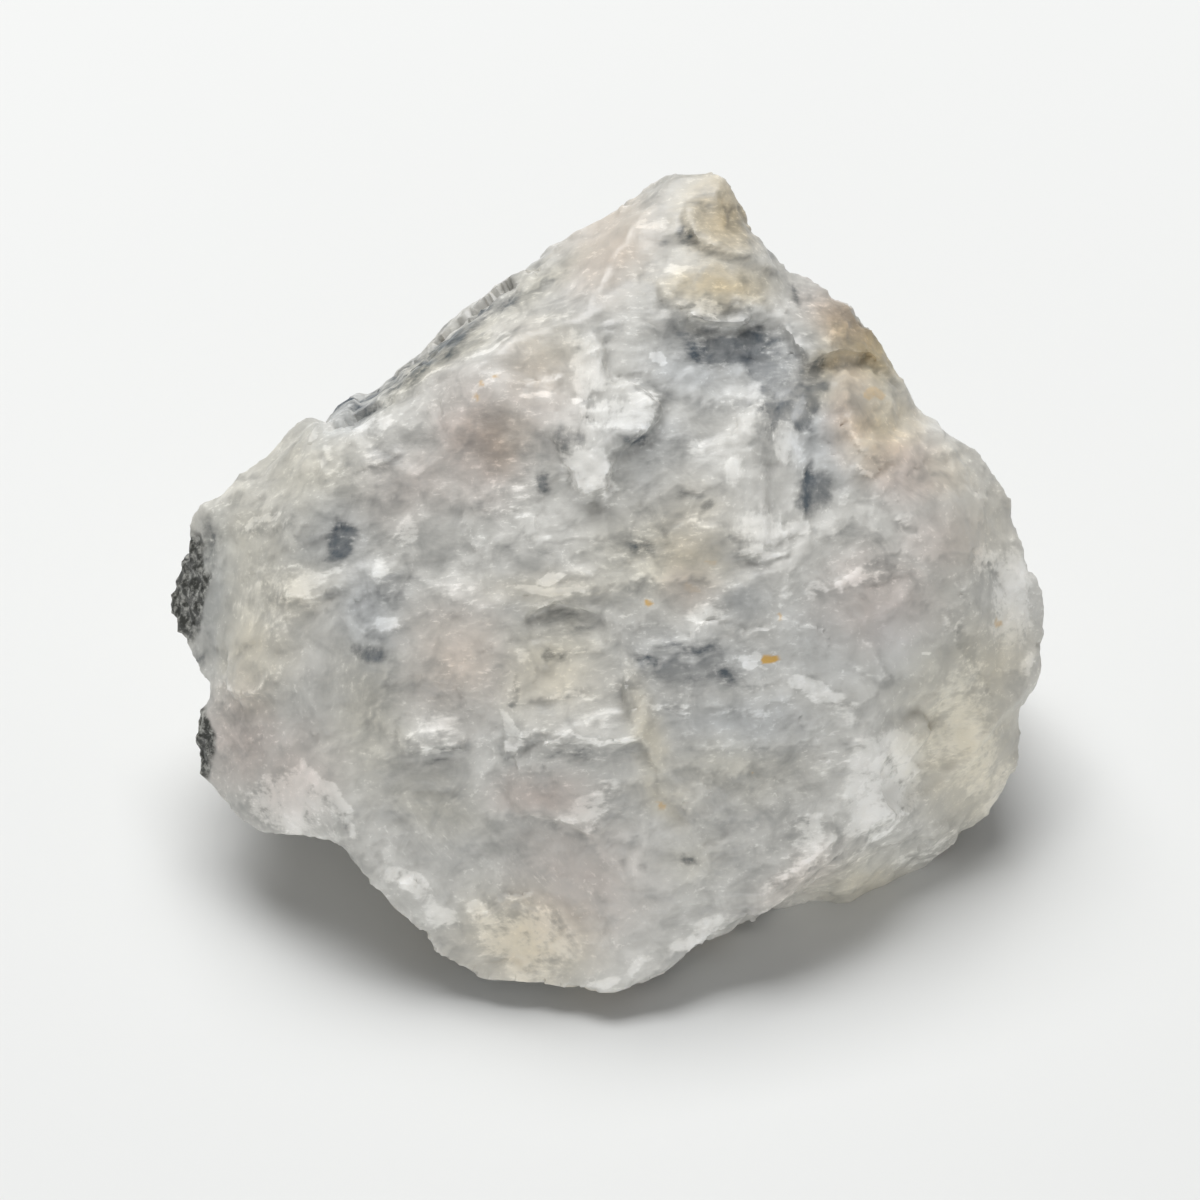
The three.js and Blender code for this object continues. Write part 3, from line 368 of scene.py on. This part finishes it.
        (-27.9, 1.2, 1.8, 5.0, 0, 1.2), (-27.0, -9.6, 1.5, 3.6, 0, 1.2),
    ],
    # painted glints: blue schiller flashes and small bright spots on the face
    "paintedGlint": [
        (19.0, -12.2, 2.0, 3.4, -20, 0.5),
        (-3.7, 1.5, 1.3, 0.3, 12, 1), (4.1, 16.1, 0.5, 0.7, 30, 0.9), (2.4, 14.8, 0.4, 0.4, 0, 0.7),
        (17.8, 8.8, 0.7, 0.2, -10, 1), (10.0, -4.3, 0.7, 0.3, 0, 0.9), (-20.2, 2.3, 0.7, 0.2, 0, 0.6),
        (-24.9, -7.4, 0.3, 0.2, 45, 0.5), (21.9, -3.7, 0.3, 0.1, 0, 0.8), (18.2, -13.7, 0.2, 0.2, 0, 1),
        (11.9, -16.1, 0.2, 0.2, 0, 1),
    ],
    "calm": [
        (24.0, -8.5, 4.0, 7.5, 10, 1), (24.0, 4.0, 3.0, 4.0, -20, 0.6), (-17.0, -6.0, 4.0, 6.0, 10, 0.7),
        (-10.0, -14.5, 6.0, 3.0, -35, 0.8), (-2.0, -19.0, 6.0, 4.0, -40, 0.7), (-7.0, 10.5, 3.5, 3.5, 0, 0.9),
        (0.7, 23.0, 3.0, 4.0, -35, 0.8), (17.0, -2.5, 3.5, 3.5, 0, 0.7), (-22.0, -11.0, 3.5, 3.0, 0, 0.7),
        (-22.0, -1.0, 3.0, 5.0, 0, 0.5), (8.0, -11.0, 5.0, 1.8, -5, 0.5), (10.8, 8.0, 1.2, 3.0, 0, 0.8),
    ],
    "steep": [
        (11.3, 8.6, 4.0, 6.0, 0, 1), (16.6, 12.0, 2.0, 4.0, 0, 1), (-0.7, 13.3, 2.7, 4.0, 0, 1),
        (-17.3, -5.3, 4.0, 5.3, 0, 1), (-24.6, 0.0, 2.7, 4.0, 0, 1),
    ],
    "slant": [
        (-2.7, -19.3, 7.3, 5.3, -30, 1), (-11.3, -16.0, 5.3, 4.0, -20, 1), (21.3, 6.7, 4.0, 2.7, -20, 1),
        (6.0, -14.6, 4.0, 3.3, 0, 0.8), (20.0, -6.0, 3.3, 4.0, 0, 0.6),
    ],
}


def remesh(piece, voxel):
    step = piece.modifiers.new("remesh", "REMESH")
    step.mode = "VOXEL"
    step.voxel_size = voxel / 1000
    bpy.ops.object.modifier_apply(modifier=step.name)


def smooth(piece, rounds):
    step = piece.modifiers.new("smooth", "SMOOTH")
    step.factor = 0.5
    step.iterations = rounds
    bpy.ops.object.modifier_apply(modifier=step.name)


def warp(piece, size, shift):
    # noise moves the points in all directions, so straight edges turn ragged
    clouds = bpy.data.textures.new("warpClouds", "CLOUDS")
    clouds.noise_scale = size / 1000
    clouds.noise_depth = 2
    clouds.cloud_type = "COLOR"
    step = piece.modifiers.new("warp", "DISPLACE")
    step.texture = clouds
    step.texture_coords = "LOCAL"
    step.direction = "RGB_TO_XYZ"
    step.mid_level = 0.5
    step.strength = shift * 2 / 1000
    bpy.ops.object.modifier_apply(modifier=step.name)


def breakFacets(mesh, masks, layer):
    # every cell of the pattern is a small facet with its own height and tilt,
    # so neighbours meet in a broken step
    co = getCoords(mesh)
    right, up, out = toFace(co)
    turn = np.radians(layer["turn"] + 70 * (masks["steep"] > 0.5) - 55 * (masks["slant"] > 0.5))
    places = np.stack([
        (right * np.cos(turn) + up * np.sin(turn)) / layer["long"],
        (up * np.cos(turn) - right * np.sin(turn)) / layer["short"],
        out / layer["short"]], axis=1)
    for i, (size, shift) in enumerate(layer["jag"]):
        for axis in range(3):
            places[:, axis] += noiseAt(co * 1000, size, layer["seed"] + i * 3 + axis) * shift
    normals = getCoords(mesh, "normal")
    strength = (1 - facing(normals) * (1 - layer["calm"])) * (1 - 0.6 * masks["calm"])
    rise = np.zeros(len(co))
    for i, spot in enumerate(places):
        spot = Vector(spot)
        distances, sites = noise.voronoi(spot)
        lucks = [noise.cell_vector(site + Vector((layer["seed"], 0, 0))) for site in sites[:2]]
        heights = []
        for site, luck in zip(sites, lucks):
            tilt = (spot - site).dot(luck - Vector((0.5, 0.5, 0.5))) * layer["tilt"] * 2
            heights.append((luck.x + luck.y + luck.z - 1.5) * layer["step"] + tilt)
        rise[i] = heights[0] * strength[i]
        # a step's higher side gets a white lip with a painted highlight, its lower side a painted shadow
        near = 1 - min(1, (distances[1] - distances[0]) / 0.22)
        cliff = (heights[0] - heights[1]) / layer["step"]
        edge = near * min(1, abs(cliff)) * layer["lipAndHighlight"] * strength[i]
        side = "lipAndHighlight" if cliff > 0 else "foot"
        masks[side][i] = max(masks[side][i], edge)
        # each flake has its own random shade, plus painted light that brightens it towards the broken edge
        masks["flake"][i] += layer["shade"] * (lucks[0].x * 0.5 + 0.25 + (sites[0] - spot).y * 0.6)
    setCoords(mesh, co + rise[:, None] / 1000 * normals)


def insideDepth(outline, x, y):
    # distance to the outline, positive inside
    nearest = np.full(len(x), 1e9)
    inside = np.zeros(len(x), bool)
    for (ax, ay), (bx, by) in zip(outline, outline[1:] + outline[:1]):
        ex, ey = bx - ax, by - ay
        t = np.clip(((x - ax) * ex + (y - ay) * ey) / (ex * ex + ey * ey), 0, 1)
        nearest = np.minimum(nearest, np.hypot(x - ax - t * ex, y - ay - t * ey))
        if ay != by:
            inside ^= ((ay > y) != (by > y)) & (x < (y - ay) / (by - ay) * ex + ax)
    return np.where(inside, nearest, -nearest)


def addFlakes(mesh, masks):
    co = getCoords(mesh)
    x, y, out = seenOnFace(co)
    for i, (size, shift) in enumerate(stoneShape["jag"]):
        x = x + noiseAt(co * 1000, size, 31 + i) * shift
        y = y + noiseAt(co * 1000, size, 41 + i) * shift
    front = smoothStep(-16, -12, out)
    rise = np.zeros(len(co))
    for flake in flakes.values():
        angle = math.radians(flake["looks"])
        ways = [px * math.cos(angle) + py * math.sin(angle) for px, py in flake["outline"]]
        way = x * math.cos(angle) + y * math.sin(angle)
        share = np.clip((way - min(ways)) / (max(ways) - min(ways)), 0, 1)
        depth = insideDepth(flake["outline"], x, y)
        cover = smoothStep(-0.07, 0.1, depth) * front
        rise = rise * (1 - cover * 0.5) + cover * flake["step"] * stoneShape["flakeHeight"] * share ** 1.3
        # the lip is the white broken edge with a painted highlight, the foot just below the step a painted
        # shadow
        lipAndHighlight = cover * (1 - smoothStep(0, 0.8, depth)) * smoothStep(0.35, 0.8, share) * flake["lipAndHighlight"]
        foot = front * (1 - smoothStep(0, 1.1, -depth)) * (1 - cover) * smoothStep(0.5, 0.9, share)
        masks["lipAndHighlight"] = np.maximum(masks["lipAndHighlight"] * (1 - cover), lipAndHighlight)
        masks["foot"] = np.maximum(masks["foot"] * (1 - cover), foot * 0.8)
    setCoords(mesh, co + rise[:, None] * np.array(faceToPart(0, 0, 0.001)))


def addPatches(mesh, masks):
    co = getCoords(mesh)
    x, y, out = seenOnFace(co)
    x = x + noiseAt(co * 1000, 2.4, 51) * 0.6 + noiseAt(co * 1000, 0.9, 52) * 0.3
    y = y + noiseAt(co * 1000, 2.4, 53) * 0.6 + noiseAt(co * 1000, 0.9, 54) * 0.3
    towards = getCoords(mesh, "normal") @ np.array(faceToPart(0, 0, 1))
    front = smoothStep(-18, -14, out) * smoothStep(-0.25, 0.15, towards)
    leftSide = smoothStep(-24, -18, out)  # the mica crust runs on round the edge
    for tone, rows in patches.items():
        low, high = stoneShape["edges"].get(tone, stoneShape["softEdge"])
        mask = np.zeros(len(co))
        for px, py, wide, tall, turn, strength in rows:
            c, s = math.cos(math.radians(turn)), math.sin(math.radians(turn))
            across = ((x - px) * c + (y - py) * s) / wide
            along = ((y - py) * c - (x - px) * s) / tall
            mask = np.maximum(mask, strength * (1 - smoothStep(low, high, np.hypot(across, along))))
        masks[tone] = mask * (leftSide if tone == "mica" else front)
    masks["wild"] = 1 - front


def growMica(mesh, masks):
    # a crust of small grains on the left edge
    co = getCoords(mesh)
    normals = getCoords(mesh, "normal")
    grains = np.zeros(len(co))
    for i in np.flatnonzero(masks["mica"] > 0.05):
        distances, _ = noise.voronoi(Vector(co[i]) * 1000 / stoneShape["micaGrain"])
        grains[i] = 0.5 - distances[0]
    rise = grains * masks["mica"] * stoneShape["micaHeight"] * 2 / 1000
    setCoords(mesh, co + rise[:, None] * normals)


def makeStone():
    bpy.ops.object.select_all(action="DESELECT")
    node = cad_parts["stone"]
    node.select_set(True)
    bpy.context.view_layer.objects.active = node
    bpy.ops.object.duplicate()
    piece = bpy.context.object
    piece.name = "roughStone"
    piece.parent = None
    mesh = piece.data
    bpy.ops.object.mode_set(mode="EDIT")
    bpy.ops.mesh.select_all(action="SELECT")
    bpy.ops.mesh.remove_doubles(threshold=1e-6)
    bpy.ops.object.mode_set(mode="OBJECT")
    co = getCoords(mesh)
    co[co[:, 2] < 1e-5, 2] -= stoneShape["sole"] / 1000
    setCoords(mesh, co)
    remesh(piece, stoneShape["voxel"])
    smooth(piece, stoneShape["smooth"])
    for size, shift in stoneShape["warp"]:
        warp(piece, size, shift)
    print("stone remeshed:", len(mesh.vertices), "points")
    masks = {name: np.zeros(len(mesh.vertices)) for name in ("lipAndHighlight", "foot", "flake")}
    addPatches(mesh, masks)
    for layer in stoneShape["facets"]:
        breakFacets(mesh, masks, layer)
    addFlakes(mesh, masks)
    growMica(mesh, masks)
    smooth(piece, 1)
    for name, values in masks.items():
        paint(mesh, name, values)
    bpy.ops.object.mode_set(mode="EDIT")
    bpy.ops.mesh.select_all(action="SELECT")
    bpy.ops.mesh.bisect(plane_co=(0, 0, 0), plane_no=(0, 0, 1), clear_inner=True, use_fill=True,
                        threshold=1e-6)
    bpy.ops.object.mode_set(mode="OBJECT")
    bpy.ops.object.shade_smooth_by_angle(angle=math.radians(stoneShape["sharpAngle"]))
    print("stone broken:", len(mesh.polygons), "faces")
    return piece


stone = makeStone()

# colours on screen, 0 to 255, and how far each goes
stoneLook = {
    "shades": [(0, (84, 91, 96)), (0.25, (149, 149, 146)), (0.5, (191, 190, 185)), (0.75, (220, 219, 214)),
               (1, (240, 239, 235))],  # from the darkest stone and the painted shade in hollows to the white lips with their painted highlight
    "tints": {"olive": (251, 248, 238), "pink": (254, 240, 236), "cream": (255, 248, 233),
              "blue": (240, 245, 253), "brownAndShade": (243, 229, 203)},
    # how far each mark shifts the shade; foot marks are painted shadow, glint and pale marks painted light
    "moves": {"greyAndShade": -0.13, "darkAndShade": -0.34, "foot": -0.1, "olive": 0.02, "pink": 0.0, "cream": 0.05,
              "paintedLight": 0.1, "brownAndShade": -0.05, "whiteAndLit": 0.24, "lipAndHighlight": 0.22, "paintedGlint": 0.3},
    "rust": (204, 165, 92),
    "mica": (58, 59, 55),
    "paintedSparkle": (176, 176, 170),
}


def addNode(tree, kind, inputs=None, **settings):
    node = tree.nodes.new(kind)
    for name, value in settings.items():
        setattr(node, name, value)
    for socket, value in (inputs or {}).items():
        if isinstance(value, bpy.types.NodeSocket):
            tree.links.new(value, node.inputs[socket])
        else:
            node.inputs[socket].default_value = value
    return node


def stoneMaterial():
    mat = bpy.data.materials.new("stone")
    mat.use_nodes = True
    tree = mat.node_tree
    shader = tree.nodes["Principled BSDF"]
    place = addNode(tree, "ShaderNodeTexCoord").outputs["Object"]

    def math2(operation, a, b):
        return addNode(tree, "ShaderNodeMath", {0: a, 1: b}, operation=operation).outputs[0]

    def spread(value, low, high, top=1.0):
        inputs = {"Value": value, "From Min": low, "From Max": high, "To Max": top}
        return addNode(tree, "ShaderNodeMapRange", inputs, interpolation_type="SMOOTHSTEP").outputs[0]

    def clouds(vector, size, detail=5.0, rough=0.6, bent=0.0):
        inputs = {"Vector": vector, "Scale": 1000 / size, "Detail": detail, "Roughness": rough,
                  "Distortion": bent}
        return addNode(tree, "ShaderNodeTexNoise", inputs).outputs[0]

    def mix(amount, a, b, way="MIX"):
        node = addNode(tree, "ShaderNodeMix", {0: amount, 6: a, 7: b}, data_type="RGBA", blend_type=way)
        return node.outputs[2]

    def attribute(name):
        return addNode(tree, "ShaderNodeAttribute", attribute_name=name).outputs["Fac"]

    def moved(vector, way, values):
        return addNode(tree, "ShaderNodeMapping", {"Vector": vector, way: values}).outputs[0]

    def onFace(turn, wide, high):
        # coordinates along the broad face, turned and drawn out
        level = moved(place, "Rotation", (-faceLean, 0, 0))
        turned = moved(level, "Rotation", (0, 0, math.radians(-turn)))
        return moved(turned, "Scale", (1000 / wide, 1000 / high, 1000 / high))

    def fibres(turn):
        inputs = {"Vector": onFace(turn, 0.8, 0.32), "Scale": 1, "Detail": 3, "Roughness": 0.6}
        return addNode(tree, "ShaderNodeTexNoise", inputs).outputs[0]

    def blend(level, steep, slant):
        flow = addNode(tree, "ShaderNodeMix", {0: attribute("steep"), 2: level, 3: steep}).outputs[0]
        return addNode(tree, "ShaderNodeMix", {0: attribute("slant"), 2: flow, 3: slant}).outputs[0]

    big = clouds(place, 6, 2, 0.5, 0.5)
    mottle = clouds(place, 2.2, 5, 0.56, 0.8)
    speck = clouds(place, 0.4, 2, 0.6)
    fibre = blend(fibres(5), fibres(80), fibres(-50))
    pattern = 0.0
    for value, share in ((big, 0.3), (mottle, 0.6), (fibre, 0.15), (attribute("flake"), 0.3)):
        pattern = math2("ADD", pattern, math2("MULTIPLY", math2("SUBTRACT", value, 0.5), share))
    even = math2("MULTIPLY", attribute("calm"), -0.65)
    shade = math2("ADD", math2("MULTIPLY", pattern, math2("ADD", even, 1)), 0.52)

    fray = math2("ADD", pattern, math2("MULTIPLY", math2("SUBTRACT", fibre, 0.5), 0.5))

    def broken(name, ragged, low=0.1, high=0.9):
        mask = math2("MULTIPLY", attribute(name), math2("ADD", math2("MULTIPLY", fray, ragged), 1))
        return spread(mask, low, high)

    # each mark shifts the shade; some are painted shadow under steps and painted light on lips and glints
    for name, move in stoneLook["moves"].items():
        amount = broken(name, 3, 0.25, 0.7) if move > 0.2 else broken(name, -2)
        shade = math2("ADD", shade, math2("MULTIPLY", amount, move))
    # white specks of the stone, partly painted glints
    flecksAndGlints = math2("MAXIMUM", spread(speck, 0.6, 0.72, 0.8), spread(fibre, 0.57, 0.7))
    flecksAndGlints = math2("MULTIPLY", flecksAndGlints, spread(mottle, 0.4, 0.6, 0.2))
    shade = math2("ADD", shade, flecksAndGlints)
    ramp = addNode(tree, "ShaderNodeValToRGB", {0: shade})
    while len(ramp.color_ramp.elements) < len(stoneLook["shades"]):
        ramp.color_ramp.elements.new(0.5)
    for stop, (at, tone) in zip(ramp.color_ramp.elements, stoneLook["shades"]):
        stop.position, stop.color = at, linear(*tone)
    colour = ramp.outputs[0]
    for i, (name, tint) in enumerate(stoneLook["tints"].items()):
        # off the broad face the tints lie in clouds
        elsewhere = moved(place, "Location", (i * 0.1 + 0.1, 0, 0))
        astray = math2("MULTIPLY", attribute("wild"), spread(clouds(elsewhere, 6, 2, 0.6), 0.5, 0.66, 0.5))
        amount = math2("MAXIMUM", math2("MULTIPLY", attribute(name), math2("ADD", pattern, 0.9)), astray)
        colour = mix(amount, colour, linear(*tint), "MULTIPLY")
    colour = mix(broken("rust", 1.0), colour, linear(*stoneLook["rust"]))
    # grains of the mica crust, the light ones partly painted sparkle
    grainAndSparkle = spread(clouds(place, 0.45, 3, 0.6), 0.42, 0.74)
    crust = mix(grainAndSparkle, linear(*stoneLook["mica"]), linear(*stoneLook["paintedSparkle"]))
    colour = mix(broken("mica", 1.0), colour, crust)
    tree.links.new(colour, shader.inputs["Base Color"])
    rough = math2("ADD", spread(mottle, 0.35, 0.65, 0.25), 0.32)
    tree.links.new(rough, shader.inputs["Roughness"])
    relief = math2("ADD", math2("MULTIPLY", fibre, 0.7), math2("MULTIPLY", speck, 0.5))
    bump = addNode(tree, "ShaderNodeBump", {"Height": relief, "Strength": 0.3, "Distance": 0.0001})
    tree.links.new(bump.outputs[0], shader.inputs["Normal"])
    shader.inputs["Subsurface Weight"].default_value = 0.35
    shader.inputs["Subsurface Radius"].default_value = (1, 0.95, 0.9)
    shader.inputs["Subsurface Scale"].default_value = 0.0014
    return mat


stone.data.materials.clear()
stone.data.materials.append(stoneMaterial())
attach(stone, "root")
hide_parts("stone")
print("stone finished")

# floor, light and camera
studio = {
    "floor": (226, 227, 226),
    "sky": 0.2,
    "boxSize": 0.6,
    "boxHeight": 0.8,
    "boxPower": 8.6,
    "fillPower": 2.35,
    "lens": 194,
}


def makeStudio():
    bpy.ops.object.select_all(action="DESELECT")
    bpy.ops.mesh.primitive_plane_add(size=6, location=(0, 0, 0))
    floor = bpy.context.object
    floor.name = "floor"
    mat = bpy.data.materials.new("floor")
    mat.use_nodes = True
    shader = mat.node_tree.nodes["Principled BSDF"]
    shader.inputs["Base Color"].default_value = linear(*studio["floor"])
    shader.inputs["Roughness"].default_value = 0.9
    shader.inputs["Specular IOR Level"].default_value = 0.1
    floor.data.materials.append(mat)
    world = bpy.data.worlds.new("studio")
    bpy.context.scene.world = world
    world.use_nodes = True
    back = world.node_tree.nodes["Background"]
    back.inputs["Color"].default_value = (1, 1, 1, 1)
    back.inputs["Strength"].default_value = studio["sky"]
    bpy.ops.object.light_add(type="AREA", location=(-0.09, 0.34, studio["boxHeight"]))
    box = bpy.context.object
    box.name = "softBox"
    box.data.size = studio["boxSize"]
    box.data.energy = studio["boxPower"]
    aim = Vector((0, 0, 0.02)) - box.location
    box.rotation_euler = aim.to_track_quat("-Z", "Y").to_euler()
    bpy.ops.object.light_add(type="AREA", location=(0.05, -0.7, 0.09))
    fill = bpy.context.object
    fill.name = "fillBox"
    fill.data.shape = "RECTANGLE"
    fill.data.size, fill.data.size_y = 1.2, 0.16
    fill.data.energy = studio["fillPower"]
    aim = Vector((0, 0, 0.02)) - fill.location
    fill.rotation_euler = aim.to_track_quat("-Z", "Y").to_euler()
    bpy.ops.object.camera_add(location=faceMiddle + faceToPart(0, 0, cameraDistance))
    camera = bpy.context.object
    camera.rotation_euler = (math.radians(90) - faceLean, 0, 0)
    camera.data.lens = studio["lens"]
    camera.data.sensor_width = 36
    camera.data.clip_start = 0.01
    bpy.context.scene.camera = camera
    bpy.context.scene.view_settings.view_transform = "Standard"


makeStudio()
print("studio set")
